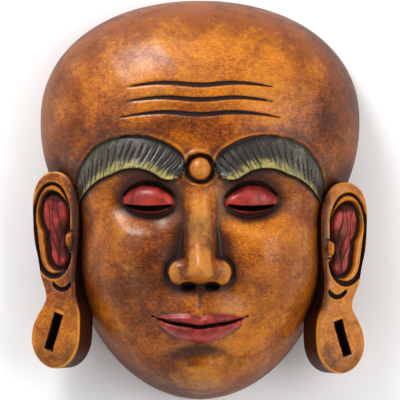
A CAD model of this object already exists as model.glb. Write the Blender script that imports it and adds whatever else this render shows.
"""A carved and painted wooden mask with long slotted ears, lying face up on a pale floor."""

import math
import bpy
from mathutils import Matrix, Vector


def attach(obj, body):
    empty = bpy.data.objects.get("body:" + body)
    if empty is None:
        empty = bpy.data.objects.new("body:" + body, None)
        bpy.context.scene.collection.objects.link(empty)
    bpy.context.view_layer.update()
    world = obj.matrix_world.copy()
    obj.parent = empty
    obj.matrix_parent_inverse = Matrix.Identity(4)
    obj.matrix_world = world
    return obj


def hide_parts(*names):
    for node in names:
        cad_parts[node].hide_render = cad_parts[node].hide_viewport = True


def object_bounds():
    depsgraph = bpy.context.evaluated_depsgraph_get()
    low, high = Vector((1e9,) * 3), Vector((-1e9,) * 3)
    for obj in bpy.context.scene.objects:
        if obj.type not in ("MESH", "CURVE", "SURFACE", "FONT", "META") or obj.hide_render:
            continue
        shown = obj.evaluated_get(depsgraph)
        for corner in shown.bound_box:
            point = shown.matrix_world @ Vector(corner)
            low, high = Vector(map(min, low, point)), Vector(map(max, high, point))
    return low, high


bl_info = {
    "name": "Carved Wooden Mask",
    "version": (1, 0, 0),
    "blender": (4, 5, 0),
    "location": "3D View > Sidebar > Mask",
    "description": "Carves, paints and lights a wooden mask with long slotted ears",
    "category": "Add Mesh",
}

import bpy
import numpy as np
from bpy.props import FloatProperty, FloatVectorProperty, PointerProperty
from bpy.types import Operator, Panel, PropertyGroup

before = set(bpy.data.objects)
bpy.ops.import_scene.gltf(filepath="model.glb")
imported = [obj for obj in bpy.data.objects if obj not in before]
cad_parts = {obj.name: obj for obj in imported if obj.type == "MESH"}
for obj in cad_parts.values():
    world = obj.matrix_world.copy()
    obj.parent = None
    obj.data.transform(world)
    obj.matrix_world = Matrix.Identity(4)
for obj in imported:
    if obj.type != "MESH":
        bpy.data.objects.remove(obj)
CAD_LOW, CAD_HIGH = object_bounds()
CAD_HEIGHT = CAD_HIGH[1] - CAD_LOW[1]

# The carving is drawn in millimetres for a mask this high, and UNIT turns them to metres
DRAWN_HEIGHT = 250.0
UNIT = CAD_HEIGHT / DRAWN_HEIGHT

# A mask's value well outside its shape
OUTSIDE = -9.0


# Shapes of one and two numbers


def ease(low, high, value):
    """An eased step from 0 to 1 between low and high: t^2 (3 - 2t)."""
    t = np.clip((value - low) / (high - low), 0, 1)
    return t * t * (3 - 2 * t)


def bell(value, width):
    """A bell-shaped bump of height 1: exp(-(value / width)^2)."""
    return np.exp(-((value / width) ** 2))


def arch(share):
    """Half a circle over shares from -1 to 1: sqrt(1 - share^2), and 0 outside."""
    return np.sqrt(np.clip(1 - share**2, 0, 1))


def smooth_max(a, b, width):
    """The larger of two heights, with the corner between them rounded over the width."""
    h = np.clip(0.5 + 0.5 * (a - b) / width, 0, 1)
    return b * (1 - h) + a * h + width * h * (1 - h)


def smooth_min(a, b, width):
    """The smaller of two distances, blended over the width."""
    return -smooth_max(-a, -b, width)


def half_ellipse(value, centre, below, above, power=2.0):
    """An ellipse of unit half-width with its own reach on each side of its centre."""
    reach = np.where(value < centre, below, above)
    return np.clip(1 - np.abs((value - centre) / reach) ** power, 0, 1) ** (1 / power)


def power_mean(power, *widths):
    """A smooth stand-in for the largest of several widths."""
    return sum(w**power for w in widths) ** (1 / power)


def ellipse_square(x, y, centre, reach):
    """The square of how far out a point lies, as a share of the ellipse's reach."""
    return ((x - centre[0]) / reach[0]) ** 2 + ((y - centre[1]) / reach[1]) ** 2


def swell(x, y, centre, reach, rise, power=2):
    """A soft swelling or hollow over an ellipse: rise * (1 - r^2)^power."""
    return rise * np.clip(1 - ellipse_square(x, y, centre, reach), 0, 1) ** power


def cap(x, y, centre, reach, rise):
    """The top of an ellipsoid, which dives below the surface outside its ellipse."""
    r2 = ellipse_square(x, y, centre, reach)
    return rise * (np.sqrt(np.clip(1 - r2, 0, 1)) - np.clip(r2 - 1, 0, 2))


def ellipse_distance(x, y, centre, reach):
    """Roughly how far a point lies outside an ellipse, negative inside it."""
    px, py = (x - centre[0]) / reach[0] + 1e-5, (y - centre[1]) / reach[1]
    near = np.hypot(px, py)
    slope = np.hypot(px / reach[0], py / reach[1])
    return near * (near - 1) / np.maximum(slope, 1e-6)


def waves(seed, count, low, high):
    """Random plane waves for uneven handwork: directions, lengths and offsets."""
    pick = np.random.default_rng(seed)
    turn = pick.uniform(0, 2 * math.pi, count)
    step = 2 * math.pi / pick.uniform(low, high, count)
    return np.cos(turn) * step, np.sin(turn) * step, pick.uniform(0, 2 * math.pi, count)


def ripple(x, y, seed, low, high, count=9):
    """Uneven handwork: the mean of several plane waves, about -1 to 1."""
    total = 0
    for kx, ky, phase in zip(*waves(seed, count, low, high)):
        total = total + np.sin(kx * x + ky * y + phase)
    return total * 1.6 / count


# The outline of the head, in drawn millimetres: a wide skull over an oval face

SKULL = (50, 88, 75, 2.15)
FACE = (-10, 115, 115)
OUTLINE_POWER = 14
LENGTH_POWER = 3.0
SIDE_POWER = 2.35


def head_half_width(form, y):
    """Half the head's width at a height: the power mean of two egg shapes."""
    skull = form.skull_width / 2 * half_ellipse(y, *SKULL)
    face = form.face_width / 2 * half_ellipse(y, *FACE)
    return power_mean(OUTLINE_POWER, skull * 1000, face * 1000)


def shell_height(s, b):
    """The plain shell's share of its depth: (1-|b|^m)^(1/m) times (1-|s|^n)^(1/n)."""
    length = np.clip(1 - np.abs(b) ** LENGTH_POWER, 0, 1) ** (1 / LENGTH_POWER)
    return length * np.clip(1 - np.abs(s) ** SIDE_POWER, 0, 1) ** (1 / SIDE_POWER)


def ear_seat(x, y, share):
    """The head is cut back beside each ear, so that the ear's front rim stands clear."""
    return swell(np.abs(x), y, (85, -8), (21, 46), -11.0, 1.5) * ease(0.05, 0.45, share)


def head_share(form, x, y):
    """The plain shell's share over a point of the plan."""
    b = np.clip(y / (DRAWN_HEIGHT / 2), -1, 1)
    s = np.clip(x / np.maximum(head_half_width(form, y), 1e-6), -1, 1)
    return shell_height(s, b)


# The face, from the eye line: calm, with the sculptor's usual proportions

EYE = (31, 0)
EYE_HALF = 16.5
BROW_CENTRE = (40, -8)
BROW_RADIUS = 36
BROW_INNER, BROW_OUTER = math.radians(141), math.radians(8)
URNA = (0, 19)
URNA_RADIUS = 7.2
NOSE_TOP, NOSE_TIP = 14, -41
WING = (11.6, -43.6)
NOSTRIL = ((7.2, -52.2), (4.6, 2.2))
MOUTH_Y = -76
MOUTH_HALF = 27
FOREHEAD_LINES = (52, 61, 70)
HAIR_SHARES = (
    *(0.06, 0.10, 0.14, 0.185, 0.225, 0.27, 0.315, 0.36, 0.41, 0.46),
    *(0.51, 0.56, 0.605, 0.655, 0.70, 0.75, 0.795, 0.845, 0.89, 0.935),
)
# Each swelling or hollow of the face: its centre on one side, its reach and its rise
SOFT_FORMS = {
    "forehead": ((0, 62), (70, 48), 3.0),
    "cheeks": ((45, -37), (36, 36), 9.0),
    "muzzle": ((0, -73), (46, 30), 9.5),
    "chin": ((0, -108), (27, 19), 8.5),
    "eye sockets": ((33, 1), (31, 24), -9.0),
    "hollow over the chin": ((0, -93.5), (24, 10), -2.6),
    "mouth corners": ((33.5, -73), (10, 9), -1.0),
}


def soft_forms(x, y):
    """The sum of the face's broad swellings, the same on both sides."""
    return sum(swell(np.abs(x), y, *form) for form in SOFT_FORMS.values())


def nose(x, y):
    """The nose: a ridge that widens downwards, a soft round tip and two wings."""
    side = np.abs(x)
    t = np.clip((NOSE_TOP - y) / (NOSE_TOP - NOSE_TIP), 0, 1)
    under = np.clip(NOSE_TIP - 3 - y, 0, None)
    crest = 2.0 + 16.5 * t**1.35 - 0.35 * np.clip(y - NOSE_TOP, 0, None)
    crest -= 3.2 * under**2 / (under + 5)
    ridge = crest - (3.0 + np.clip(crest, 0, None)) * (side / (8.5 + 5.5 * t)) ** 2.2
    ridge = ridge + swell(side, y, (0, NOSE_TIP), (12, 14), 4.0, 1.3)
    wings = cap(side, y, WING, (9.4, 9.0), 11.0)
    return smooth_max(ridge, wings, 8.0)


def mouth_line(x):
    """The height of the line between the lips: lifted ends and a dip in the middle."""
    return MOUTH_Y + 4.4 * (np.abs(x) / MOUTH_HALF) ** 2.4 - 1.0 * bell(x, 6.0)


def lip_lines(x):
    """The heights of the line between the lips and of their upper and lower edges."""
    across = np.clip(np.abs(x) / MOUTH_HALF, 0, 1)
    fade = np.clip(1 - across**2, 0, 1)
    line = mouth_line(x)
    upper = line + 7.4 * fade**0.75 - 1.4 * bell(x, 3.6)
    return line, upper, line - 10.6 * fade**0.62, fade


def lips(x, y):
    """Closed lips: half a sine of relief on each side of the line between them."""
    line, upper, lower, fade = lip_lines(x)
    above = np.clip((y - line) / np.maximum(upper - line, 0.3), 0, 1)
    below = np.clip((line - y) / np.maximum(line - lower, 0.3), 0, 1)
    roll = np.where(y > line, 3.0 * np.sin(np.pi * above**0.8), 3.8 * np.sin(np.pi * below**0.8))
    return roll * ease(0, 0.35, fade)


def brow_place(x, y):
    """Where a point lies in the brow: its share of the length, its offset, the half-width."""
    side = np.abs(x)
    angle = np.arctan2(y - BROW_CENTRE[1], side - BROW_CENTRE[0])
    radius = np.hypot(side - BROW_CENTRE[0], y - BROW_CENTRE[1])
    share = (angle - BROW_OUTER) / (BROW_INNER - BROW_OUTER)
    half = 10.2 * np.clip(share * 2.6, 0, 1) ** 0.8
    half = half * arch(np.clip((share - 0.87) / 0.13, 0, 1))
    centre = BROW_RADIUS + 1.5 * np.sin(np.pi * np.clip(share, 0, 1))
    return share, radius - centre, half


def brow_distance(x, y):
    """How far inside the brow a point lies, negative outside."""
    share, offset, half = brow_place(x, y)
    return np.where((share > -0.05) & (share < 1.05), half - np.abs(offset), OUTSIDE)


def hair_lean(share):
    """How far the brow's hairs lean from upright: not at all outside, most at the bead."""
    return np.radians(2 + 46 * np.clip(share - 0.25, 0, None) / 0.75)


def brow_comb(x, y):
    """A coordinate that stays the same along a hair: the place along the band, skewed."""
    share, offset, _ = brow_place(x, y)
    angle = BROW_OUTER + share * (BROW_INNER - BROW_OUTER)
    skew = 1 / np.tan(np.clip(angle - hair_lean(np.clip(share, 0, 1)), 0.35, 2.8))
    return BROW_RADIUS * (angle - BROW_OUTER) - offset * np.clip(skew, -2, 2)


def brow_hairs(x, y):
    """How far inside the nearest combed line of the brow a point lies.

    Each line is a straight stroke through the middle of the band. The strokes stand
    upright at the outer end and lean out more and more towards the bead.
    """
    side = np.abs(x)
    best = np.full(np.shape(x), OUTSIDE)
    pick = np.random.default_rng(11)
    for share in HAIR_SHARES:
        angle = BROW_OUTER + share * (BROW_INNER - BROW_OUTER)
        lean = hair_lean(share) + pick.normal(0, 0.05)
        reach = 7.6 + pick.uniform(-2.4, 1.6)
        drop = pick.uniform(-2.0, 1.4)
        along_x, along_y = math.sin(lean), -math.cos(lean)
        from_x = side - BROW_CENTRE[0] - BROW_RADIUS * math.cos(angle) - drop * along_x
        from_y = y - BROW_CENTRE[1] - BROW_RADIUS * math.sin(angle) - drop * along_y
        along = from_x * along_x + from_y * along_y
        bend = 0.006 * along**2
        away = np.abs(from_x * along_y - from_y * along_x + bend)
        half = 0.5 * arch(along / reach)
        best = np.maximum(best, np.where(np.abs(along) < reach, half - away, OUTSIDE))
    return np.minimum(best, brow_distance(x, y) - 0.9)


def brows(x, y, ground):
    """Each brow is a sunk band, deep under the forehead's edge and proud of the socket."""
    _, offset, half = brow_place(x, y)
    inside = ease(0.6, -0.6, np.abs(offset) - half) * ease(0, 0.8, half)
    across = np.clip(offset / np.maximum(half, 0.5), -1, 1)
    band = 1.4 - 3.6 * across
    edge = 0.45 * bell(offset - half - 1.1, 1.0) * ease(0, 4, half)
    return ground * (1 - inside) + band * inside + edge


def eyelid_lines(x):
    """The lids' upper edge, the sight line and the lower edge: an almond about the eye."""
    across = np.clip((np.abs(x) - EYE[0]) / EYE_HALF, -1, 1)
    bow = np.clip(1 - across**2, 0, 1)
    tilt = EYE[1] + 0.8 * across
    return tilt + 9.5 * bow**0.8, tilt - 3.0 - 2.0 * bow, tilt - 3.0 - 7.2 * bow**0.8, bow


def eyelids(x, y):
    """The lids over the eye's dome: the upper one's edge stands out above the lower."""
    upper, sight, lower, bow = eyelid_lines(x)
    middle, half = (upper + lower) / 2, np.maximum((upper - lower) / 2, 0.3)
    dome = 9.0 * np.sqrt(np.clip(1 - ((y - middle) / half) ** 2, 0, 1) * bow**0.6)
    under = ease(0.4, -0.4, y - sight) * ease(0, 0.2, bow)
    return dome - 1.4 * under - 7.0 - 6 * np.clip(np.abs(y - middle) / half - 1, 0, 1)


def bead_away(x, y):
    """How far a point lies from the middle of the bead between the brows."""
    return np.hypot(x - URNA[0], y - URNA[1])


def urna(x, y):
    """The bead between the brows, in a sunk ring with a raised collar."""
    away = bead_away(x, y)
    bead = 6.0 * arch(away / URNA_RADIUS)
    collar = 1.5 * bell(away - URNA_RADIUS - 3.3, 1.5)
    ring = -1.6 * bell(away - URNA_RADIUS - 0.8, 1.3)
    return bead + collar + ring


def forehead_line(x, height):
    """One of the shallow arches across the forehead, with a slight dip in the middle."""
    return height + 2.8 * (1 - bell(x, 17)) - 4.6 * (x / 50) ** 2


def face_cuts(x, y):
    """Every cut line of the face, as its distance, its half-width and its depth."""
    side = np.abs(x)
    cuts = []
    for height in FOREHEAD_LINES:
        half = 1.6 * np.clip(1 - (x / (63 - 0.25 * height)) ** 2, 0, 1) ** 0.6
        cuts.append((y - forehead_line(x, height), half, 1.3))
    upper, _, lower, bow = eyelid_lines(x)
    cuts.append((y - upper - 1.0, 1.2 * bow**0.4, 1.1))
    cuts.append((y - lower + 0.6, 0.9 * bow**0.4, 0.7))
    wing = ellipse_distance(side, y, WING, (8.6, 8.4))
    outer = ease(WING[0] - 1, WING[0] + 3, side) * ease(-51, -46, y)
    cuts.append((wing, 1.3 * outer, 1.4))
    half = 1.3 * arch(x / (MOUTH_HALF + 3))
    cuts.append((y - mouth_line(x), half, 2.4))
    return cuts


def furrows(x, y):
    """The relief of the cut lines, the fold under the nose and the nostrils."""
    deepest = np.zeros_like(x)
    for distance, half, depth in face_cuts(x, y):
        t = np.clip(np.abs(distance) / np.maximum(half, 1e-6), 0, 1)
        deepest = np.minimum(deepest, -depth * (1 - t * t) * ease(0, 0.4, half))
    fold = -1.3 * bell(x, 2.4) * ease(-71, -65, y) * ease(-54, -59, y)
    nostril = ellipse_distance(np.abs(x), y, *NOSTRIL)
    hairs = -0.8 * ease(-0.35, 0.45, brow_hairs(x, y))
    return np.minimum(deepest, fold) - 4.5 * ease(0.6, -1.6, nostril) + hairs


def carving(x, y):
    """The height of the face's carving over the plain shell."""
    ground = soft_forms(x, y)
    ground = brows(x, y, ground)
    ground = smooth_max(ground, eyelids(x, y), 1.0)
    ground = smooth_max(ground, nose(x, y), 3.2)
    ground = ground + lips(x, y) + urna(x, y) + furrows(x, y)
    return ground + 0.22 * ripple(x, y, 3, 9, 26)


def painted_lines(x, y):
    """How far inside a dark painted line of the face a point lies."""
    inside = np.full(np.shape(x), OUTSIDE)
    for distance, half, _ in face_cuts(x, y):
        inside = np.maximum(inside, np.where(half > 0.05, half - np.abs(distance) - 0.1, OUTSIDE))
    nostril = ellipse_distance(np.abs(x), y, *NOSTRIL)
    away = bead_away(x, y)
    ring = 1.0 - np.abs(away - URNA_RADIUS - 0.9)
    share, offset, half = brow_place(x, y)
    under = np.where((share > 0) & (share < 1.02), 0.6 - np.abs(offset + half + 0.3), OUTSIDE)
    return np.maximum.reduce([inside, 0.6 - nostril, ring, under, brow_hairs(x, y)])


def painted_red(x, y):
    """How far inside the red of the lids or of the lips a point lies."""
    upper, _, lower, bow = eyelid_lines(x)
    lid = np.where(bow > 0.02, np.minimum(upper - y, y - lower), OUTSIDE)
    _, top, bottom, fade = lip_lines(x)
    lip = np.where(fade > 0.02, np.minimum(top - y, y - bottom), OUTSIDE)
    return np.maximum(lid, lip)


# Grids

# How many places round the outline its direction is worked out at
OUTLINE_STEPS = 2881


def disc_grid(columns, rows, gather=0.0):
    """A square grid's points bent onto the unit disc, gathered towards the middle.

    A point (u, v) goes to (u sqrt(1 - v^2/2), v sqrt(1 - u^2/2)).
    """
    u = np.linspace(-1, 1, columns + 1)
    v = np.linspace(-1, 1, rows + 1)
    u = u * (1 - gather) + gather * u**3
    v = v * (1 - gather) + gather * v**3
    u, v = np.meshgrid(u, v)
    return u * np.sqrt(1 - v * v / 2), v * np.sqrt(1 - u * u / 2)


def eased(a, b):
    """The disc's points moved outwards, so that the rows stay even down a steep side."""
    radius = np.clip(np.hypot(a, b), 1e-12, 1)
    factor = np.sin(radius * math.pi / 2) / radius
    return a * factor, b * factor


def grid_numbers(columns, rows):
    """The numbers of a grid's points, row by row."""
    return np.arange((columns + 1) * (rows + 1)).reshape(rows + 1, columns + 1)


def border(columns, rows):
    """The numbers of a grid's border points, once round from its first corner."""
    number = grid_numbers(columns, rows)
    return np.concatenate((number[0, :-1], number[:-1, -1], number[-1, :0:-1], number[:0:-1, 0]))


def grid_faces(columns, rows):
    """The quads of a grid."""
    number = grid_numbers(columns, rows)
    corners = (number[:-1, :-1], number[:-1, 1:], number[1:, 1:], number[1:, :-1])
    return np.stack([c.ravel() for c in corners], axis=1)


def band(near, far):
    """The quads between two closed loops of as many points."""
    return np.stack((near, far, np.roll(far, -1), np.roll(near, -1)), axis=1).tolist()


def closed_shell(front, grid, loops, back, back_grid):
    """Points and faces of a front grid, the loops round its edge and a back grid.

    The back grid is as fine as the front, or half as fine, and then three triangles for
    each of its border's steps join it to the last loop.
    """
    edge = border(*grid)
    count = len(edge)
    starts = [len(front) + i * count for i in range(len(loops) + 1)]
    rings = [edge] + [start + np.arange(count) for start in starts[:-1]]
    back_faces = grid_faces(*back_grid)[:, ::-1] + starts[-1]
    faces = grid_faces(*grid).tolist() + back_faces.tolist()
    for near, far in zip(rings, rings[1:]):
        faces += band(near, far)
    near, far = rings[-1], border(*back_grid) + starts[-1]
    if len(near) == len(far):
        faces += band(near, far)
    else:
        after = np.roll(far, -1)
        first, middle, last = near[0::2], near[1::2], np.roll(near, -1)[1::2]
        for corners in ((first, far, middle), (middle, far, after), (middle, after, last)):
            faces += np.stack(corners, axis=1).tolist()
    return np.concatenate([front, *loops, back]), faces


def outward(a, b, place):
    """The outline's outward unit normal in the direction of each of the disc's points."""
    turn = np.linspace(-math.pi, math.pi, OUTLINE_STEPS)
    x, y = place(np.cos(turn), np.sin(turn))
    dx, dy = np.gradient(x), np.gradient(y)
    dx[0] = dx[-1] = (dx[0] + dx[-1]) / 2
    dy[0] = dy[-1] = (dy[0] + dy[-1]) / 2
    size = np.hypot(dx, dy)
    angle = np.arctan2(b, a)
    return np.interp(angle, turn, dy / size), np.interp(angle, turn, -dx / size)


# Meshes

SHARP_ANGLE = math.radians(78)


def new_mesh(name, points, faces):
    mesh = bpy.data.meshes.new(name)
    mesh.from_pydata(np.asarray(points).tolist(), [], faces)
    mesh.update()
    return mesh


def new_piece(name, mesh):
    piece = bpy.data.objects.new(name, mesh)
    bpy.context.scene.collection.objects.link(piece)
    return piece


def cut_out(name, points, faces, cutters):
    """The closed mesh with the cutters' solids taken out of it."""
    solid = new_piece(f"{name}_solid", new_mesh(f"{name}_solid", points, faces))
    tool = new_piece(f"{name}_cutter", new_mesh(f"{name}_cutter", *joined_solids(cutters)))
    cut = solid.modifiers.new("cut", "BOOLEAN")
    cut.solver = "EXACT"
    cut.operation = "DIFFERENCE"
    cut.object = tool
    depsgraph = bpy.context.evaluated_depsgraph_get()
    mesh = bpy.data.meshes.new_from_object(solid.evaluated_get(depsgraph))
    mesh.name = name
    for thing in (solid, tool):
        old = thing.data
        bpy.data.objects.remove(thing)
        bpy.data.meshes.remove(old)
    return mesh


def joined_solids(solids):
    """Several separate closed solids as one list of points and one of faces."""
    points, faces, start = [], [], 0
    for some_points, some_faces in solids:
        points.append(some_points)
        faces += [[start + i for i in face] for face in some_faces]
        start += len(some_points)
    return np.concatenate(points), faces


def prism(outline, low, high):
    """A closed solid with the outline as its section, from low to high along Z."""
    flat = np.array(outline, float)
    count = len(flat)
    points = np.concatenate([np.c_[flat, np.full(count, z)] for z in (low, high)])
    near = np.arange(count)
    after = np.roll(near, -1)
    sides = np.stack((near, after, count + after, count + near), axis=1).tolist()
    return points, [near[::-1].tolist(), (near + count).tolist(), *sides]


def rows_of(*parts):
    """Arrays of X, Y and Z of one shape, as one row for each point."""
    return np.stack(parts, axis=-1).reshape(-1, 3)


def points_of(mesh):
    """The mesh's points in drawn millimetres."""
    flat = np.empty(len(mesh.vertices) * 3, np.float32)
    mesh.vertices.foreach_get("co", flat)
    return flat.reshape(-1, 3).astype(float) / UNIT


# The painter's masks, each with its value where there is no paint
MASKS = {
    "recess": 0,
    "shade": 0,
    "side": 1,
    "line": OUTSIDE,
    "red": OUTSIDE,
    "brow": OUTSIDE,
    "across": 0,
    "comb": 0,
    "calm": 0,
    "mud": 0,
    "joint": 0,
}


def write_masks(mesh, painted, masks):
    """Puts every mask on the mesh's points, also those that the piece leaves out."""
    for name, off in MASKS.items():
        values = np.where(painted, masks.get(name, off), off)
        layer = mesh.attributes.new(name, "FLOAT", "POINT")
        layer.data.foreach_set("value", values.astype(np.float32))


def finish_mesh(mesh, painted, materials):
    """Smooth shading with crisp cut edges. Faces with no painted corner are bare wood."""
    for material in materials:
        mesh.materials.append(material)
    loops = np.empty(len(mesh.loops), np.int32)
    mesh.loops.foreach_get("vertex_index", loops)
    starts = np.empty(len(mesh.polygons), np.int32)
    mesh.polygons.foreach_get("loop_start", starts)
    on = np.maximum.reduceat(painted[loops].astype(np.int32), starts)
    mesh.polygons.foreach_set("material_index", (1 - on).astype(np.int32))
    mesh.polygons.foreach_set("use_smooth", np.ones(len(mesh.polygons), bool))
    mesh.set_sharp_from_angle(angle=SHARP_ANGLE)
    mesh.update()


def blurred(field, radius):
    """A raster smoothed by a Gaussian of that radius in cells, edges held."""
    reach = int(3 * radius)
    weights = np.exp(-0.5 * (np.arange(-reach, reach + 1) / radius) ** 2)
    weights = weights / weights.sum()
    for axis in (0, 1):
        padded = np.pad(field, [(reach, reach) if i == axis else (0, 0) for i in (0, 1)], "edge")
        field = np.apply_along_axis(lambda row: np.convolve(row, weights, "valid"), axis, padded)
    return field


def sampled(field, low, cell, x, y):
    """A raster's value at each point, by straight lines between its cells."""
    i = np.clip((x - low[0]) / cell, 0, field.shape[1] - 1.001)
    j = np.clip((y - low[1]) / cell, 0, field.shape[0] - 1.001)
    i0, j0 = i.astype(int), j.astype(int)
    u, v = i - i0, j - j0
    near = field[j0, i0] * (1 - u) + field[j0, i0 + 1] * u
    far = field[j0 + 1, i0] * (1 - u) + field[j0 + 1, i0 + 1] * u
    return near * (1 - v) + far * v


def wear(relief, low, high, cell, x, y, fine, broad):
    """How deep each point lies in its surroundings, near and far, in drawn millimetres."""
    gx, gy = np.meshgrid(np.arange(low[0], high[0], cell), np.arange(low[1], high[1], cell))
    field = relief(gx, gy)
    near, far = blurred(field, fine / cell), blurred(field, broad / cell)
    return sampled(near - field, low, cell, x, y), sampled(far - field, low, cell, x, y)


# The head

HEAD_GRID = (260, 290)
# How much the grid's lines gather towards the middle of the face
GATHER = 0.45
# The shell's shares between which the carving fades in
CARVED_SHARE = (0.30, 0.62)
# The width and length of a gouge's scallop
GOUGE = (13, 24)
# The rim's rounding, and how far its middle point lies in from the corner
RIM_ROUND = 0.9
RIM_CORNER = 0.26


def row_share(a, b):
    """How far across its row a point of the disc lies, from -1 to 1."""
    return np.clip(a / np.sqrt(np.clip(1 - b * b, 1e-12, 1)), -1, 1)


def head_place(form, a, b):
    """The disc's point (a, b) in the head's outline."""
    y = b * DRAWN_HEIGHT / 2
    return row_share(a, b) * head_half_width(form, y), y


def head_grid(form, columns, rows):
    """A grid's places on the disc and on the plan, and the plain shell's share there."""
    a, b = eased(*disc_grid(columns, rows, GATHER))
    return a, b, *head_place(form, a, b), shell_height(row_share(a, b), b)


def faded_carving(x, y, share):
    """The face's carving, which fades out down the sides of the shell."""
    return carving(x, y) * ease(*CARVED_SHARE, share)


def outer_height(form, x, y, share):
    """The carved face over the floor: the plain shell, the carving and the ears' seats."""
    return share * form.depth * 1000 + faded_carving(x, y, share) + ear_seat(x, y, share)


def gouge_marks(x, y):
    """Shallow scallops of a round gouge: rows of |sin| ridges, bent by the ripple."""
    bend = 4.0 * ripple(x, y, 21, 40, 90)
    row = (x + bend) / GOUGE[0]
    across = np.abs(np.sin(math.pi * row))
    along = np.abs(np.sin(math.pi * (y + 1.7 * bend + 6 * np.floor(row)) / GOUGE[1]))
    return 0.9 * across + 0.5 * along


def hollow_height(form, x, y, share):
    """The hollow's roof: a share of the shell, raised behind the nose and the muzzle."""
    height = share * (form.depth - form.front_wall) * 1000
    height = height + 0.8 * swell(x, y, (0, -30), (22, 50), 14.0)
    height = height + 0.5 * swell(x, y, (0, -76), (42, 32), 9.0)
    return height - gouge_marks(x, y) * ease(0, 0.3, share)


def head_shell(form, grid):
    """The carved face, the rounded rim and the hollow, as one closed shell."""
    half_grid = (grid[0] // 2, grid[1] // 2)
    wall = form.rim_width * 1000

    def place(a, b):
        return head_place(form, a, b)

    def surface(a, b, x, y, height):
        z = np.where(np.hypot(a, b) > 1 - 1e-9, RIM_ROUND, np.maximum(height, RIM_ROUND))
        return rows_of(x, y, z)

    a, b, x, y, share = head_grid(form, *grid)
    front = surface(a, b, x, y, outer_height(form, x, y, share))

    ring = border(*grid)
    rim_x, rim_y = x.ravel()[ring], y.ravel()[ring]
    nx, ny = outward(a.ravel()[ring], b.ravel()[ring], place)
    steps = (
        (RIM_CORNER, RIM_CORNER),
        (RIM_ROUND, 0),
        (wall - RIM_ROUND, 0),
        (wall - RIM_CORNER, RIM_CORNER),
    )
    loops = []
    for gap, height in steps:
        loops.append(rows_of(rim_x - gap * nx, rim_y - gap * ny, 0 * nx + height))

    a, b, x, y, share = head_grid(form, *half_grid)
    nx, ny = outward(a, b, place)
    inset = wall * np.hypot(a, b) ** 2
    x, y = x - inset * nx, y - inset * ny
    back = surface(a, b, x, y, hollow_height(form, x, y, share))
    points, faces = closed_shell(front, grid, loops, back, half_grid)
    return points * UNIT, faces


def sight_slit(form, side):
    """The slit between the lids, a low arc that droops in the middle."""
    t = np.linspace(-1, 1, 41)
    x = side * (EYE[0] * UNIT + t * form.eye_width / 2)
    middle = (EYE[1] - 3.0 - 2.2 * (1 - t * t)) * UNIT
    half = form.eye_opening / 2 * arch(t)
    outline = list(zip(x, middle - half))[1:-1] + list(zip(x, middle + half))[::-1]
    return prism(outline if side > 0 else outline[::-1], form.depth / 2, form.depth * 1.5)


def hanging_notch(form):
    """The notch at the crown's inner edge that a nail bears up against."""
    edge = CAD_HEIGHT / 2 - form.rim_width
    low, high = edge - form.rim_width, edge + form.notch_rise
    half = form.notch_width / 2
    outline = [(-half, low), (half, low), (half, high), (-half, high)]
    return prism(outline, -0.004, form.notch_depth)


def head_masks(form, mesh):
    """The painter's masks of the head, in drawn millimetres or shares."""
    x, y, z = points_of(mesh).T
    share = head_share(form, x, y)
    outer = outer_height(form, x, y, share)
    painted = np.abs(z - np.maximum(outer, RIM_ROUND)) < 0.45
    painted |= (share < 0.08) & (z > 0.2) & (z >= outer - 3)

    def relief(gx, gy):
        return faded_carving(gx, gy, head_share(form, gx, gy))

    fine, broad = wear(relief, (-112, -132), (112, 132), 0.5, x, y, 1.6, 6.0)
    along, offset, half = brow_place(x, y)
    above = offset - half
    beside = ease(-0.05, 0.1, along) * ease(1.1, 0.95, along)
    halo = 1.5 * ease(10, 2.5, above) * ease(0.8, 2.0, above) * beside
    away = bead_away(x, y)
    upper = ease(0, 7, y - URNA[1])
    collar = ease(5.2, 7.2, away) * ease(16, 9, away) * (1 - 0.6 * upper)
    arc = bell(away - URNA_RADIUS - 3.4, 0.6) * upper
    bead = ease(14, 9, away)
    rim = 0.8 * ease(3.6, 2.2, np.abs(above - 1)) * beside
    nose_tip = 0.6 * ease(1.4, 0.6, np.hypot(x / 21, (y + 34) / 26))
    bridge = swell(x, y, (0, -20), (12, 38), 1.2, 1)
    crown = 0.30 * ease(88, 120, y)
    crown = crown + 0.10 * ease(60, 95, y) * ease(40, 80, np.abs(x))
    return painted, {
        "recess": np.clip(fine, -3, 3) - 0.7 * arc,
        "shade": np.clip(broad, -6, 6) * (1 - 0.8 * collar) + halo + 1.5 * collar - bridge,
        "side": 1 - share + crown,
        "line": painted_lines(x, y),
        "red": painted_red(x, y),
        "brow": brow_distance(x, y),
        "across": np.clip(offset / np.maximum(half, 0.5), -1.2, 1.2),
        "comb": brow_comb(x, y),
        "calm": np.maximum.reduce([bead, rim, nose_tip]),
        "joint": ear_shadow(x, y),
    }


def ear_shadow(x, y):
    """Where the head meets an ear: 1 in the corner, fading over some millimetres."""
    return swell(np.abs(x), y, (88, -24), (22, 60), 1.6, 1.0).clip(0, 1)


# The ears, in units of which an ear is 122.5 long, from its top down

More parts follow.
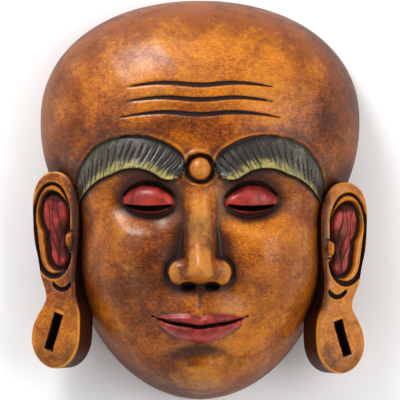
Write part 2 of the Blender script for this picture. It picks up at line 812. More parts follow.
EAR_GRID = (84, 208)
EAR_UNITS = 122.5
EAR_HALF = 17.5
EAR_UPPER = (-26, 53, 26, 2.3)
EAR_LOBE = (-103, 19.5, 26)
EAR_NECK = (-80, 30, 30)
CONCHA_LEAN = 0.12
CONCHA_MIDDLE = -40
CONCHA_UPPER = ((16.8, -27.6), (9.2, 13.4))
CONCHA_LOWER = ((17.0, -52.0), (6.0, 7.4))
CONCHA_NECK = ((17.0, -43.0), (6.2, 9.0))
LOOP_UPPER = ((19.5, -27.5), (12.7, 19.8))
LOOP_LOWER = ((18.0, -50.0), (11.4, 15.0))
TRAGUS = ((6.0, -42.4), (3.2, 4.6))
TRAGUS_NOTCHES = (((4.6, -36.8), (2.4, 1.2)), ((5.4, -48.6), (2.6, 1.1)))
CRESCENT = (11.8, -67.0)
CRESCENT_RADIUS = 6.3
LOBE_SLOT = (17.7, -99.6)
LOBE_DISC = ((17.6, -103), (15.3, 17.3))
VEINS = ((-3.6, 0.9, 0.4), (0.6, 1.2, 2.1), (4.4, 0.8, 4.6))


def ear_place(form, a, b, gap):
    """The disc's point (a, b) in the ear's outline, drawn in all round by the gap."""
    q = (b - 1) * EAR_UNITS / 2
    upper = half_ellipse(q, *EAR_UPPER)
    lobe = half_ellipse(q, *EAR_LOBE)
    neck = 0.62 * half_ellipse(q, *EAR_NECK)
    half = form.width * 500 * power_mean(6, upper, lobe, neck)
    trim = 0.10 * bell(q + 56, 13) + 0.04 * bell(q + 30, 15)
    middle = 17.6 - 4.6 * bell(q + 80, 14) - trim * half
    half = half * (1 - trim)
    return middle + row_share(a, b) * half * (1 - gap / EAR_HALF), q - gap * b


def concha(p, q):
    """How far outside the ear's inner hollow a point lies: leaning ovals run into one."""
    p = p - CONCHA_LEAN * (q - CONCHA_MIDDLE)
    ovals = (CONCHA_UPPER, CONCHA_LOWER, CONCHA_NECK)
    upper, lower, neck = (ellipse_distance(p, q, *oval) for oval in ovals)
    return smooth_min(smooth_min(upper, lower, 6.0), neck, 2.0)


def helix_loop(p, q):
    """How far outside the outer loop's line a point lies."""
    upper, lower = (ellipse_distance(p, q, *oval) for oval in (LOOP_UPPER, LOOP_LOWER))
    return smooth_min(upper, lower, 9.0)


def loop_half(q):
    """Half the width of the outer loop's groove, which widens towards its foot."""
    return 1.5 + 0.7 * ease(-38, -60, q)


def loop_open(p, q):
    """1 where the loop stops, at the front of the ear."""
    return ease(9.5, 7.0, p) * ease(-36, -40, q) * ease(-52, -48, q)


def crescent(p, q):
    """How far inside the crescent cut under the ear a point lies."""
    away = np.hypot(p - CRESCENT[0], q - CRESCENT[1])
    half = 1.6 * ease(-0.5, -4.0, q - CRESCENT[1])
    return half - np.abs(away - CRESCENT_RADIUS)


def veins(p, q):
    """How far inside one of the wavy lines down the ear's hollow a point lies."""
    best = np.full(np.shape(p), OUTSIDE)
    for start, swing, phase in VEINS:
        line = 16.6 + CONCHA_LEAN * (q - CONCHA_MIDDLE) + start * (0.25 + 0.75 * ease(-52, -34, q))
        line = line + swing * np.sin(q / 4.4 + phase) * (1 - 0.5 * ease(-20, -14, q))
        best = np.maximum(best, 0.34 - np.abs(p - line) * 0.85)
    return np.minimum(best, -0.9 - concha(p, q))


def ear_carving(p, q):
    """The ear's carving below its front face: loops of groove, hollow and crescent."""
    inner, outer = concha(p, q), helix_loop(p, q)
    t = np.clip(np.abs(outer) / loop_half(q), 0, 1)
    relief = -2.4 * (1 - t * t) * (1 - loop_open(p, q))
    relief -= 2.4 * ease(1.0, -0.5, outer) * (1 - ease(2.2, 3.4, inner))
    relief -= 1.8 * ease(3.0, 1.2, inner) * ease(-1.6, 0.2, inner)
    relief += swell(p, q, CONCHA_UPPER[0], (9, 15), 1.6)
    relief += cap(p, q, *TRAGUS, 3.0).clip(0)
    relief -= 2.2 * ease(-0.2, 1.2, crescent(p, q))
    relief -= 0.5 * ease(-0.3, 0.3, veins(p, q))
    return relief + 0.15 * ripple(p, q, 8, 7, 18)


def ear_sizes(form, side):
    """One ear's top, length and lean."""
    if side < 0:
        return form.left_top, form.left_length, form.left_lean
    return form.right_top, form.right_length, form.right_lean


def lobe_lean(q, lean):
    """How far a lobe that leans towards the jaw is set in, from the ear's neck down."""
    return lean * 1000 * ease(-60, -100, q)


def ear_to_world(form, side, p, q, n):
    """From the ear's own face, p outwards, q up and n forwards, to the mask's frame."""
    top, length, lean = ear_sizes(form, side)
    cosine, sine = math.cos(form.splay), math.sin(form.splay)
    p = p - lobe_lean(q, lean)
    x = form.root_x * 1000 + p * cosine + n * sine
    z = form.root_z * 1000 - p * sine + n * cosine
    return rows_of(side * x, top * 1000 + q * length * 1000 / EAR_UNITS, z)


def ear_from_world(form, side, points):
    """The other way round: the mask's frame to the ear's p, q and n."""
    top, length, lean = ear_sizes(form, side)
    cosine, sine = math.cos(form.splay), math.sin(form.splay)
    x = side * points[:, 0] - form.root_x * 1000
    z = points[:, 2] - form.root_z * 1000
    q = (points[:, 1] - top * 1000) * EAR_UNITS / (length * 1000)
    return x * cosine - z * sine + lobe_lean(q, lean), q, x * sine + z * cosine


def set_on_head(form, side, points, faces):
    """A solid drawn on the ear's own face, set in its place on the mask."""
    points = ear_to_world(form, side, *points.T) * UNIT
    return points, faces if side > 0 else [face[::-1] for face in faces]


def ear_solid(form, side, grid):
    """One ear: a carved front face, a rounded edge and a plain back."""
    a, b = disc_grid(*grid)
    thick, edge = form.thickness * 1000, form.edge_radius * 1000
    p, q = ear_place(form, a, b, edge)
    front = rows_of(p, q, ear_carving(p, q))
    back = rows_of(p, q, 0 * p - thick)
    ring = border(*grid)
    turns = np.linspace(0, math.pi / 2, 6)[1:]
    steps = [(edge * (1 - math.sin(t)), -edge * (1 - math.cos(t))) for t in turns]
    middle = [(0, -edge - (thick - 2 * edge) * share) for share in np.linspace(0, 1, 14)[1:-1]]
    steps += middle + [(gap, -thick - drop) for gap, drop in reversed(steps)]
    loops = []
    for gap, drop in steps:
        rim_p, rim_q = ear_place(form, a.ravel()[ring], b.ravel()[ring], gap)
        loops.append(rows_of(rim_p, rim_q, 0 * rim_p + drop))
    return set_on_head(form, side, *closed_shell(front, grid, loops, back, grid))


def lobe_slot(form, side):
    """The slot down the lobe, cut square to the ear's face with slightly waisted sides."""
    t = np.linspace(-1, 1, 13)
    half = form.slot_width * 500 * (1 - 0.08 * np.cos(t * math.pi / 2))
    u = np.concatenate([half, -half[::-1]])
    v = np.concatenate([t, t[::-1]]) * (form.slot_length * 500)
    cosine, sine = math.cos(form.slot_tilt), math.sin(form.slot_tilt)
    p = LOBE_SLOT[0] + u * cosine - v * sine
    q = LOBE_SLOT[1] + u * sine + v * cosine
    depth = form.slot_depth * 1000
    return set_on_head(form, side, *prism(list(zip(p, q)), -depth, depth))


def slot_place(form, p, q):
    """A point's place in the lobe slot's own frame, across it and along it."""
    cosine, sine = math.cos(form.slot_tilt), math.sin(form.slot_tilt)
    p, q = p - LOBE_SLOT[0], q - LOBE_SLOT[1]
    return p * cosine + q * sine, q * cosine - p * sine


def ear_lines(p, q):
    """How far inside a dark painted line of the ear a point lies."""
    inner, outer, gap = concha(p, q), helix_loop(p, q), loop_open(p, q)
    loop = (loop_half(q) - 0.6 - np.abs(outer)) * (1 - gap) - 3 * gap
    half = 1.2 + 0.7 * ease(-30, -50, q) + 0.5 * ease(16, 24, p)
    ring = np.minimum(half - inner, inner + 0.3)
    above, below = (ellipse_distance(p, q, *notch) for notch in TRAGUS_NOTCHES)
    notches = -np.minimum(above, below) - 0.4
    return np.maximum.reduce([loop, ring, crescent(p, q) - 0.1, veins(p, q) - 0.12, notches])


def ear_masks(form, head, side, mesh):
    """The painter's masks of one ear."""
    points = points_of(mesh)
    p, q, n = ear_from_world(form, side, points)
    x, y, z = points.T
    relief = ear_carving(p, q)
    front = n > relief - 0.35
    fine, broad = wear(ear_carving, (-6, -130), (42, 8), 0.25, p, q, 1.2, 3.5)
    inner, outer = concha(p, q), helix_loop(p, q)
    u, v = (np.abs(value) for value in slot_place(form, p, q))
    half_w, half_l = form.slot_width * 500, form.slot_length * 500
    slot = np.minimum(half_w + 0.25 - u, half_l + 0.25 - v)
    in_slot = (n < relief - 0.35) & (n > -form.slot_depth * 1000 - 0.5) & (slot > 0)
    behind = np.where(in_slot, -0.05, OUTSIDE)
    ends = bell(v - half_l - 1.5, 1.1) * ease(half_w + 1.6, half_w - 0.6, u)
    over_head = z - outer_height(head, x, y, head_share(head, x, y))
    rounded = ease(-2.6, -1.6, n) * ease(0.1, -0.5, n - relief) * (slot < 0)
    near_edge = -ellipse_distance(p, q, *LOBE_DISC)
    lobe_edge = ease(2.6, 0.6, near_edge) * ease(-2.0, 0, near_edge)
    lobe_edge = lobe_edge * ease(-93, -104, q)
    low_lobe = 1.3 * ease(-100, -118, q) + 0.8 * swell(p, q, (8, -106), (9, 16), 1.0)
    head_side = ease(8.5, 1.5, p) * ease(-90, -72, q)
    ridge = 0.75 * ease(0.5, -1.5, outer) * ease(2.2, 4.0, inner)
    knob = 0.9 * (ellipse_distance(p, q, *TRAGUS) < -0.2)
    mud = 0.45 + swell(p, q, (11.5, -42), (7.5, 14), 1.3, 1.0)
    mud = mud + swell(p, q, (17, -14), (10, 6), 1.5, 1.0)
    worn = np.clip(fine, -3, 3) - 0.9 * ends - 0.8 * lobe_edge
    deep = np.clip(broad, -6, 6) + low_lobe + 3.2 * head_side
    edge_deep = (1 - rounded) * (0.4 + 3.0 * ease(24, 9, p)) + 1.5 * head_side
    return np.ones(len(p), bool), {
        "recess": np.where(front, worn, 1.3 * head_side - 1.1 * rounded),
        "shade": np.where(front, deep, edge_deep),
        "side": np.clip(-n / (form.thickness * 1000), 0, 1) + 0.10 + 0.10 * ease(-45, -75, q),
        "line": np.where(front, np.maximum(ear_lines(p, q), slot), behind),
        "red": np.where(front, -inner - 0.3, OUTSIDE),
        "calm": front * np.maximum(ridge, knob),
        "mud": front * mud,
        "joint": ease(9, 0, over_head) * (y > -95),
    }


# Materials

# The sockets of a colour mix, by number, because their names repeat
MIX_FIRST, MIX_SECOND, MIX_RESULT = 6, 7, 2


class Shading:
    """Short calls for building one node tree."""

    def __init__(self, tree):
        self.tree = tree
        self.nodes = tree.nodes
        self.links = tree.links

    def put(self, socket, value):
        """Links a socket to a socket, or sets it to a number or a colour."""
        if isinstance(value, bpy.types.NodeSocket):
            self.links.new(value, socket)
        elif hasattr(socket.default_value, "__len__") and not hasattr(value, "__len__"):
            socket.default_value = [value] * len(socket.default_value)
        elif hasattr(value, "__len__") and len(value) == 3 and len(socket.default_value) == 4:
            socket.default_value = (*value, 1.0)
        else:
            socket.default_value = value

    def attribute(self, name):
        node = self.nodes.new("ShaderNodeAttribute")
        node.attribute_name = name
        return node.outputs["Fac"]

    def place(self, scale=(1, 1, 1)):
        """Object coordinates, stretched."""
        return self.mapping(self.nodes.new("ShaderNodeTexCoord").outputs["Object"], scale)

    def mapping(self, vector, scale=(1, 1, 1), turn=(0, 0, 0)):
        """A place turned and stretched."""
        node = self.nodes.new("ShaderNodeMapping")
        self.put(node.inputs["Vector"], vector)
        node.inputs["Scale"].default_value = scale
        node.inputs["Rotation"].default_value = turn
        return node.outputs["Vector"]

    def pair(self, first, second):
        """A place made of two values, the second much stretched."""
        node = self.nodes.new("ShaderNodeCombineXYZ")
        self.put(node.inputs["X"], first)
        self.put(node.inputs["Y"], second)
        return self.mapping(node.outputs["Vector"], (0.9, 0.8, 1.0))

    def noise(self, vector, scale, detail=4.0, roughness=0.55, distortion=0.0):
        node = self.nodes.new("ShaderNodeTexNoise")
        self.put(node.inputs["Vector"], vector)
        self.put(node.inputs["Scale"], scale)
        node.inputs["Detail"].default_value = detail
        node.inputs["Roughness"].default_value = roughness
        node.inputs["Distortion"].default_value = distortion
        return node.outputs["Fac"]

    def math(self, operation, first, second):
        node = self.nodes.new("ShaderNodeMath")
        node.operation = operation
        self.put(node.inputs[0], first)
        self.put(node.inputs[1], second)
        return node.outputs[0]

    def span(self, value, low, high, to_low=0.0, to_high=1.0):
        """A value's range eased to another, held at its ends."""
        node = self.nodes.new("ShaderNodeMapRange")
        node.interpolation_type = "SMOOTHSTEP"
        labels = ("Value", "From Min", "From Max", "To Min", "To Max")
        for label, end in zip(labels, (value, low, high, to_low, to_high)):
            self.put(node.inputs[label], end)
        return node.outputs["Result"]

    def mix(self, share, first, second, blend="MIX"):
        node = self.nodes.new("ShaderNodeMix")
        node.data_type = "RGBA"
        node.blend_type = blend
        self.put(node.inputs["Factor"], share)
        self.put(node.inputs[MIX_FIRST], first)
        self.put(node.inputs[MIX_SECOND], second)
        return node.outputs[MIX_RESULT]

    def tint(self, color, share, weight, other):
        """The colour with another laid over it, by a share times a weight."""
        return self.mix(self.math("MULTIPLY", share, weight), color, other)

    def blend_sum(self, *parts):
        """The sum of several values, each times its own weight."""
        total = None
        for value, weight in parts:
            part = self.math("MULTIPLY", value, weight)
            total = part if total is None else self.math("ADD", total, part)
        return total

    def share(self, low, high, *parts):
        """How far a weighted sum of values has come from low to high, 0 to 1."""
        return self.span(self.blend_sum(*parts), low, high)

    def uneven(self, vector, scale, detail, roughness):
        """Noise about nought."""
        return self.math("SUBTRACT", self.noise(vector, scale, detail, roughness), 0.5)

    def bump(self, height, distance, strength=1.0):
        node = self.nodes.new("ShaderNodeBump")
        self.put(node.inputs["Height"], height)
        node.inputs["Distance"].default_value = distance
        node.inputs["Strength"].default_value = strength
        return node.outputs["Normal"]


def new_group(name, inputs, outputs):
    """A node group with named sockets, and its input and output nodes."""
    group = bpy.data.node_groups.new(name, "ShaderNodeTree")
    for label, kind, value in inputs:
        socket = group.interface.new_socket(label, in_out="INPUT", socket_type=kind)
        socket.default_value = (*value, 1.0) if kind == "NodeSocketColor" else value
    for label, kind in outputs:
        group.interface.new_socket(label, in_out="OUTPUT", socket_type=kind)
    entry = group.nodes.new("NodeGroupInput")
    leave = group.nodes.new("NodeGroupOutput")
    return Shading(group), entry.outputs, leave.inputs


def stained_wood_group():
    """Brushed stain: cloudy patches, finer mottling, short brush streaks and specks."""
    shade, given, out = new_group(
        "Stained Wood",
        [
            ("Bright", "NodeSocketColor", (0.6, 0.2, 0.02)),
            ("Middle", "NodeSocketColor", (0.4, 0.12, 0.02)),
            ("Deep", "NodeSocketColor", (0.1, 0.03, 0.01)),
            ("Cloud", "NodeSocketFloat", 16.0),
            ("Speck", "NodeSocketFloat", 0.5),
        ],
        [("Color", "NodeSocketColor"), ("Tone", "NodeSocketFloat"), ("Height", "NodeSocketFloat")],
    )
    where = shade.place()
    cloud = shade.noise(where, given["Cloud"], 4, 0.55, 0.4)
    mottle = shade.noise(where, 110, 5, 0.62, 0.3)
    fine = shade.noise(where, 520, 4, 0.7)
    streak = shade.noise(shade.mapping(where, (90, 800, 260), (0, 0, 0.12)), 1.0, 5, 0.6, 0.4)
    crossed = shade.noise(shade.mapping(where, (80, 700, 260), (0, 0, -0.6)), 1.0, 5, 0.6, 0.4)
    streaks = shade.blend_sum((streak, 0.6), (crossed, 0.4))
    grain = shade.noise(shade.mapping(where, (420, 1150, 600), (0, 0, 0.35)), 1.0, 4, 0.75, 0.3)
    tone = shade.blend_sum((cloud, 0.52), (mottle, 0.14), (fine, 0.14), (streaks, 0.12), (grain, 0.08))
    color = shade.mix(shade.span(tone, 0.385, 0.50), given["Deep"], given["Middle"])
    color = shade.mix(shade.span(tone, 0.45, 0.57), color, given["Bright"])
    blotch = shade.span(shade.noise(where, 34, 5, 0.62, 0.6), 0.52, 0.74)
    color = shade.tint(color, blotch, 0.62, given["Deep"])
    small = shade.span(shade.noise(where, 700, 3, 0.6), 0.62, 0.72)
    large = shade.span(shade.noise(where, 230, 4, 0.7), 0.64, 0.74)
    color = shade.tint(color, shade.math("MAXIMUM", small, large), given["Speck"], given["Deep"])
    dusk = shade.span(shade.blend_sum((fine, 0.35), (grain, 0.65)), 0.40, 0.60, 0.76, 1.08)
    dusk_color = shade.nodes.new("ShaderNodeCombineColor")
    for channel in ("Red", "Green", "Blue"):
        shade.put(dusk_color.inputs[channel], dusk)
    color = shade.mix(1.0, color, dusk_color.outputs[0], "MULTIPLY")
    height = shade.blend_sum((streaks, 0.5), (fine, 0.2), (mottle, 0.3))
    shade.put(out["Color"], color)
    shade.put(out["Tone"], tone)
    shade.put(out["Height"], height)
    return shade.tree


def add_group(shade, group, *values):
    """A group node with its inputs set in their order."""
    node = shade.nodes.new("ShaderNodeGroup")
    node.node_tree = group
    for socket, value in zip(node.inputs, values):
        shade.put(socket, value)
    return node.outputs


def new_material(name):
    material = bpy.data.materials.new(name)
    material.use_nodes = True
    shade = Shading(material.node_tree)
    return material, shade, material.node_tree.nodes["Principled BSDF"]


def brushed_stain(paint, group):
    """The mask's face: brushed stain, dark in the cuts, worn bright on the ridges.

    The painter's masks on the points say where each colour goes, and noise breaks up the
    edges, as a brush would.
    """
    material, shade, shader = new_material("brushed_stain")
    wood = add_group(shade, group, paint.bright, paint.middle, paint.deep, 15.0, 0.55)
    tone = wood["Tone"]
    where = shade.place()
    brush = shade.uneven(where, 330, 3, 0.6)
    patch = shade.uneven(where, 60, 5, 0.65)
    masks = (shade.attribute(name) for name in MASKS)
    recess, broad, side, cut, redness, browness, across, comb, calm, mud, joint = masks

    ring = shade.share(0.04, 0.60, (side, 1.0), (patch, 1.3), (brush, 0.6))
    cloudy = shade.share(0.40, 0.58, (tone, 1.0), (patch, 0.35), (brush, 0.35))
    color = shade.tint(wood["Color"], ring, 0.85, shade.mix(cloudy, paint.edge_deep, paint.edge))
    gold = ((broad, -0.22), (recess, -0.9), (brush, 0.9), (patch, 1.4), (calm, -0.35))
    gold = shade.share(0.12, 1.05, *gold)
    color = shade.tint(color, gold, shade.span(calm, 0.0, 1.0, 0.62, 0.30), paint.worn)
    wax = shade.share(0.10, 2.3, (broad, 1.0), (patch, 1.6), (brush, 0.8))
    color = shade.tint(color, wax, 0.88, paint.rubbed)

    strand = shade.noise(shade.pair(comb, across), 1.0, 4, 0.7, 0.2)
    strand = shade.math("SUBTRACT", strand, 0.5)
    low = shade.share(-1.05, -0.36, (across, 1.0), (brush, 0.8), (patch, 0.6), (strand, 2.6))
    inner = shade.share(20.0, 66.0, (comb, 1.0), (patch, 30.0))
    grey = shade.tint(paint.brow_top, inner, 0.85, paint.brow_deep)
    brow_color = shade.mix(low, paint.brow_low, grey)
    sheen = shade.share(0.02, 0.30, (strand, 1.2), (patch, 1.0), (brush, 0.4))
    sheen_weight = shade.span(inner, 0.0, 1.0, 0.66, 0.22)
    brow_color = shade.tint(brow_color, sheen, sheen_weight, paint.brow_pale)
    gap = shade.share(0.06, 0.22, (strand, -1.0), (brush, -0.3))
    brow_color = shade.tint(brow_color, gap, 0.6, paint.line)
    color = shade.mix(shade.share(-0.25, 0.25, (browness, 1.0), (brush, 0.5)), color, brow_color)

    red_patch = shade.span(shade.noise(where, 130, 4, 0.6), 0.35, 0.65)
    red_color = shade.mix(red_patch, paint.red_deep, paint.red_bright)
    red_color = shade.tint(red_color, wax, 0.8, paint.rubbed)
    mud = shade.share(0.25, 1.3, (mud, 1.0), (patch, 1.4), (brush, 0.7))
    red_color = shade.tint(red_color, mud, 0.8, paint.rubbed)
    color = shade.mix(shade.share(-0.3, 0.3, (redness, 1.0), (brush, 0.6)), color, red_color)

    dark = shade.share(0.10, 0.80, (recess, 1.0), (brush, 0.5))
    color = shade.tint(color, dark, 0.85, paint.line)
    corner = shade.share(0.15, 0.9, (joint, 1.0), (brush, 0.3), (patch, 0.3))
    color = shade.tint(color, corner, 0.75, paint.rubbed)
    line = shade.share(-0.28, 0.22, (cut, 1.0), (brush, 0.45))
    color = shade.mix(line, color, paint.line)

    shade.put(shader.inputs["Base Color"], color)
    rough = shade.span(tone, 0.35, 0.65, 0.46, 0.36)
    rough = shade.blend_sum((rough, 1.0), (line, 0.28), (wax, 0.08), (mud, 0.25), (ring, 0.06))
    shade.put(shader.inputs["Roughness"], rough)
    dull = shade.blend_sum((line, 1.0), (corner, 1.0), (mud, 1.0), (ring, 0.6))
    shade.put(shader.inputs["Coat Weight"], shade.span(dull, 0.0, 0.8, 0.28, 0.0))
    height = shade.blend_sum((wood["Height"], 0.6), (brush, 0.3))
    shade.put(shader.inputs["Normal"], shade.bump(height, 0.00035, 0.8))
    shader.inputs["Specular IOR Level"].default_value = 0.32
    shader.inputs["Coat Roughness"].default_value = 0.25
    return material


def bare_wood(paint, group):
    """The hollow and the rim: raw wood gone brown, with the grain along the mask."""
    material, shade, shader = new_material("bare_wood")
    wood = add_group(shade, group, paint.bare, paint.bare_middle, paint.bare_deep, 22.0, 0.3)
    grain = shade.noise(shade.place((420, 26, 420)), 1.0, 6, 0.62, 1.2)
    color = shade.tint(wood["Color"], shade.span(grain, 0.42, 0.60), 0.55, paint.bare_deep)
    shade.put(shader.inputs["Base Color"], color)
    shade.put(shader.inputs["Roughness"], shade.span(grain, 0.3, 0.7, 0.62, 0.80))
    shade.put(shader.inputs["Normal"], shade.bump(grain, 0.0005, 0.7))
    return material


def floor_material(colour):
    material, _, shader = new_material("pale_floor")
    shader.inputs["Base Color"].default_value = (*colour, 1.0)
    shader.inputs["Roughness"].default_value = 0.9
    return material


def shared(name, build, *given):
    """One material or node group, built once and then found by its name."""
    store = bpy.data.node_groups if build is stained_wood_group else bpy.data.materials
    return store.get(name) or build(*given)


def mask_materials(scene):
    group = shared("Stained Wood", stained_wood_group)
    paint = scene.mask_paint
    return [
        shared("brushed_stain", brushed_stain, paint, group),
        shared("bare_wood", bare_wood, paint, group),
    ]


# What a user can change


def number(name, description, default, low=0.0, **more):
    """A number that a user can change, never under its low end."""
    return FloatProperty(name=name, description=description, default=default, min=low, **more)


def length(name, description, default, low=0.0005, high=1.0):
    """A length in metres."""
    return number(name, description, default, low, max=high, unit="LENGTH", precision=4)


def angle(name, description, degrees):
    """An angle of up to a quarter turn each way, given in degrees."""
    quarter = math.pi / 2
    units = {"subtype": "ANGLE", "unit": "ROTATION"}
    return number(name, description, math.radians(degrees), -quarter, max=quarter, **units)


def to_linear(channel):
    channel = channel / 255
    return channel / 12.92 if channel <= 0.04045 else ((channel + 0.055) / 1.055) ** 2.4


def colour(name, description, *rgb):
    """A colour given as it shows on a screen, 0 to 255."""
    return FloatVectorProperty(
        name=name,
        description=description,
        subtype="COLOR",
        size=3,
        min=0.0,
        max=1.0,
        default=[to_linear(channel) for channel in rgb],
    )


class HeadForm(PropertyGroup):
    skull_width: length("Skull Width", "Widest part of the bald skull", 0.2005)
    face_width: length("Face Width", "Widest part of the oval face", 0.168)
    depth: length("Depth", "From the floor to the plain shell's top", 0.080)
    rim_width: length("Rim Width", "Width of the flat rim round the open back", 0.011)
    front_wall: length("Front Wall", "Thickness of the wood behind the brow", 0.012)
    eye_opening: length("Eye Opening", "Height of the sight slits", 0.0036)
    eye_width: length("Eye Width", "Length of the sight slits", 0.029)
    notch_width: length("Notch Width", "Width of the hanging notch", 0.008)
    notch_rise: length("Notch Rise", "How far the notch goes up into the rim", 0.005)
    notch_depth: length("Notch Depth", "How far the notch goes in from the back", 0.012)


class EarForm(PropertyGroup):
    left_length: length("Left Length", "From the left ear's top to its lobe's end", 0.1222)
    right_length: length("Right Length", "From the right ear's top to its lobe's end", 0.1186)
    left_top: length("Left Top", "Height of the left ear's top over the eye line", 0.0177, -0.1)
    right_top: length("Right Top", "Height of the right ear's top over the eye line", 0.0110, -0.1)
    left_lean: length("Left Lean", "How far the left lobe is set in towards the jaw", 0.0, 0.0)
    right_lean: length("Right Lean", "How far the right lobe is set in towards the jaw", 0.0030, 0.0)
    width: length("Width", "Widest part of the ear, across its own face", 0.035)
    thickness: length("Thickness", "Thickness of the ear", 0.018)
    edge_radius: length("Edge Radius", "Rounding of the ear's edges", 0.0022)
    root_x: length("Root Distance", "From the middle of the face to the ear's inner edge", 0.0754)
    root_z: length("Root Height", "Height of the ear's inner front edge over the floor", 0.047)
    splay: angle("Splay", "How far the ear turns back from the face", 30)
    slot_length: length("Slot Length", "Length of the slot in the lobe", 0.0236)
    slot_width: length("Slot Width", "Width of the slot in the lobe", 0.0062)
    slot_depth: length("Slot Depth", "Depth of the slot in the lobe", 0.010)
    slot_tilt: angle("Slot Tilt", "Lean of the slot, with its foot outwards", 18.5)


class MaskPaint(PropertyGroup):
    bright: colour("Bright Stain", "The stain's golden orange", 204, 124, 20)
    middle: colour("Middle Stain", "The stain's orange brown", 160, 84, 20)
    deep: colour("Deep Stain", "The stain's darkest clouds and specks", 92, 45, 18)
    worn: colour("Worn Ridges", "Rubbed high places", 226, 158, 62)
    edge: colour("Outer Edge", "The duller brown round the outside", 124, 61, 22)
    edge_deep: colour("Outer Edge Clouds", "The darker clouds of the outer brown", 76, 35, 15)
    rubbed: colour("Rubbed Hollows", "Dark wax left in the hollows", 58, 28, 16)
    line: colour("Cut Lines", "Near-black paint in the cuts", 44, 25, 20)
    brow_top: colour("Brow", "Dark grey of the brows", 72, 69, 60)
    brow_deep: colour("Brow Inner End", "Darker grey of the brows beside the bead", 38, 38, 34)
    brow_pale: colour("Brow Sheen", "Pale grey worn patches of the brows", 146, 143, 126)
    brow_low: colour("Brow Edge", "Dry-brushed olive gold along the brows", 168, 156, 90)
    red_bright: colour("Bright Red", "Lids, lips and ears", 178, 62, 52)
    red_deep: colour("Deep Red", "The red's darker patches", 120, 38, 34)
    bare: colour("Bare Wood", "The hollow's raw wood", 128, 88, 56)
    bare_middle: colour("Bare Wood Middle", "The hollow's middle tone", 98, 62, 38)
    bare_deep: colour("Bare Wood Grain", "The hollow's dark grain", 58, 36, 24)


class StudioStage(PropertyGroup):
    floor_colour: colour("Floor", "The pale floor", 250, 250, 250)
    camera_height: length("Camera Height", "The camera over the floor", 2.2, 0.3, 10.0)
    view_width: length("View Width", "Width of the view at the ears' height", 0.2487, 0.05, 2.0)
    key_power: number("Key Light", "Power of the main soft light", 8.5, unit="POWER")
    fill_power: number("Fill Light", "Power of the second soft light", 5.0, unit="POWER")
    sky: number("Room Light", "Strength of the even light of the room", 0.92)


# What a user can do

FLOOR_HALF = 4.0
# Each soft light's place and size
KEY_LIGHT = ((-0.50, 0.93, 0.58), 0.42)
FILL_LIGHT = ((0.95, 0.10, 0.95), 0.9)
# Where the view has its stated width, over the floor
VIEW_HEIGHT = 0.03


def add_carving(scene, name, mesh, painted, masks):
    """Paints a carved mesh and adds it as a piece that stands for the mask's solid."""
    write_masks(mesh, painted, masks)
    finish_mesh(mesh, painted, mask_materials(scene))
    piece = new_piece(name, mesh)
    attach(piece, "root")
    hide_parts("mask")


class MASK_OT_carve_head(Operator):
    """Carve the head: the face, the rim and the hollow behind it"""

    bl_idname = "mask.carve_head"
    bl_label = "Carve Head"
    bl_options = {"REGISTER", "UNDO"}

    def execute(self, context):
        form = context.scene.mask_head
        cutters = [sight_slit(form, -1), sight_slit(form, 1), hanging_notch(form)]
        mesh = cut_out("carved_head", *head_shell(form, HEAD_GRID), cutters)
        add_carving(context.scene, "carved_head", mesh, *head_masks(form, mesh))
        return {"FINISHED"}


class MASK_OT_carve_ears(Operator):
    """Carve the two long ears with their slotted lobes"""

    bl_idname = "mask.carve_ears"
    bl_label = "Carve Ears"
    bl_options = {"REGISTER", "UNDO"}

    def execute(self, context):
        form, head = context.scene.mask_ears, context.scene.mask_head
        for name, side in (("left_ear", -1), ("right_ear", 1)):
            mesh = cut_out(name, *ear_solid(form, side, EAR_GRID), [lobe_slot(form, side)])
            add_carving(context.scene, name, mesh, *ear_masks(form, head, side, mesh))
        return {"FINISHED"}


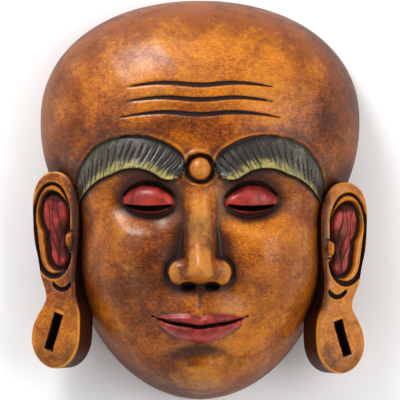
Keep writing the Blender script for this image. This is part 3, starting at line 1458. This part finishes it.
class MASK_OT_set_stage(Operator):
    """Set the stage: pale floor, soft studio lights and the camera overhead"""

    bl_idname = "mask.set_stage"
    bl_label = "Set Stage"
    bl_options = {"REGISTER", "UNDO"}

    def execute(self, context):
        stage = context.scene.mask_stage
        signs = ((-1, -1), (1, -1), (1, 1), (-1, 1))
        corners = [(x * FLOOR_HALF, y * FLOOR_HALF, 0) for x, y in signs]
        floor = new_piece("floor", new_mesh("floor", corners, [[0, 1, 2, 3]]))
        floor.data.materials.append(floor_material(stage.floor_colour))
        add_softbox("key_light", *KEY_LIGHT, stage.key_power)
        add_softbox("fill_light", *FILL_LIGHT, stage.fill_power)
        world = bpy.data.worlds.new("soft_room")
        world.use_nodes = True
        room = Shading(world.node_tree)
        split = room.nodes.new("ShaderNodeSeparateXYZ")
        way = room.nodes.new("ShaderNodeTexCoord").outputs["Generated"]
        room.put(split.inputs["Vector"], way)
        sky = room.nodes["Background"]
        sky.inputs["Color"].default_value = (1, 1, 1, 1)
        ring = room.span(split.outputs["Z"], 0.70, 0.95, 1.0, 0.12)
        ring = room.math("MULTIPLY", ring, room.span(split.outputs["Z"], 0.0, 0.45, 0.30, 1.0))
        room.put(sky.inputs["Strength"], room.math("MULTIPLY", ring, stage.sky))
        context.scene.world = world
        lens = bpy.data.cameras.new("camera")
        lens.sensor_width = 36
        reach = stage.camera_height - VIEW_HEIGHT
        lens.lens = lens.sensor_width * reach / stage.view_width
        camera = new_piece("camera", lens)
        camera.location = (0, 0, stage.camera_height)
        context.scene.camera = camera
        context.scene.view_settings.view_transform = "Standard"
        context.scene.view_settings.look = "Medium High Contrast"
        return {"FINISHED"}


def add_softbox(name, place, size, power):
    """A square soft light that faces the mask."""
    lamp = bpy.data.lights.new(name, "AREA")
    lamp.shape = "SQUARE"
    lamp.size = size
    lamp.energy = power
    light = new_piece(name, lamp)
    light.location = place
    x, y, z = place
    light.rotation_euler = (math.atan2(math.hypot(x, y), z), 0, math.atan2(-y, -x) - math.pi / 2)


class MASK_PT_panel(Panel):
    """The mask's sizes, colours and tools"""

    bl_label = "Carved Wooden Mask"
    bl_idname = "MASK_PT_panel"
    bl_space_type = "VIEW_3D"
    bl_region_type = "UI"
    bl_category = "Mask"

    def draw(self, context):
        scene = context.scene
        steps = (
            (MASK_OT_carve_head, scene.mask_head),
            (MASK_OT_carve_ears, scene.mask_ears),
            (None, scene.mask_paint),
            (MASK_OT_set_stage, scene.mask_stage),
        )
        for operator, group in steps:
            box = self.layout.box()
            if operator:
                box.operator(operator.bl_idname)
            for key in group.bl_rna.properties.keys():
                if key not in ("rna_type", "name"):
                    box.prop(group, key)


CLASSES = (
    HeadForm,
    EarForm,
    MaskPaint,
    StudioStage,
    MASK_OT_carve_head,
    MASK_OT_carve_ears,
    MASK_OT_set_stage,
    MASK_PT_panel,
)


def register():
    for item in CLASSES:
        bpy.utils.register_class(item)
    bpy.types.Scene.mask_head = PointerProperty(type=HeadForm)
    bpy.types.Scene.mask_ears = PointerProperty(type=EarForm)
    bpy.types.Scene.mask_paint = PointerProperty(type=MaskPaint)
    bpy.types.Scene.mask_stage = PointerProperty(type=StudioStage)


def unregister():
    del bpy.types.Scene.mask_stage
    del bpy.types.Scene.mask_paint
    del bpy.types.Scene.mask_ears
    del bpy.types.Scene.mask_head
    for item in reversed(CLASSES):
        bpy.utils.unregister_class(item)


def main():
    register()
    bpy.ops.mask.carve_head()
    bpy.ops.mask.carve_ears()
    bpy.ops.mask.set_stage()


if __name__ == "__main__":
    main()
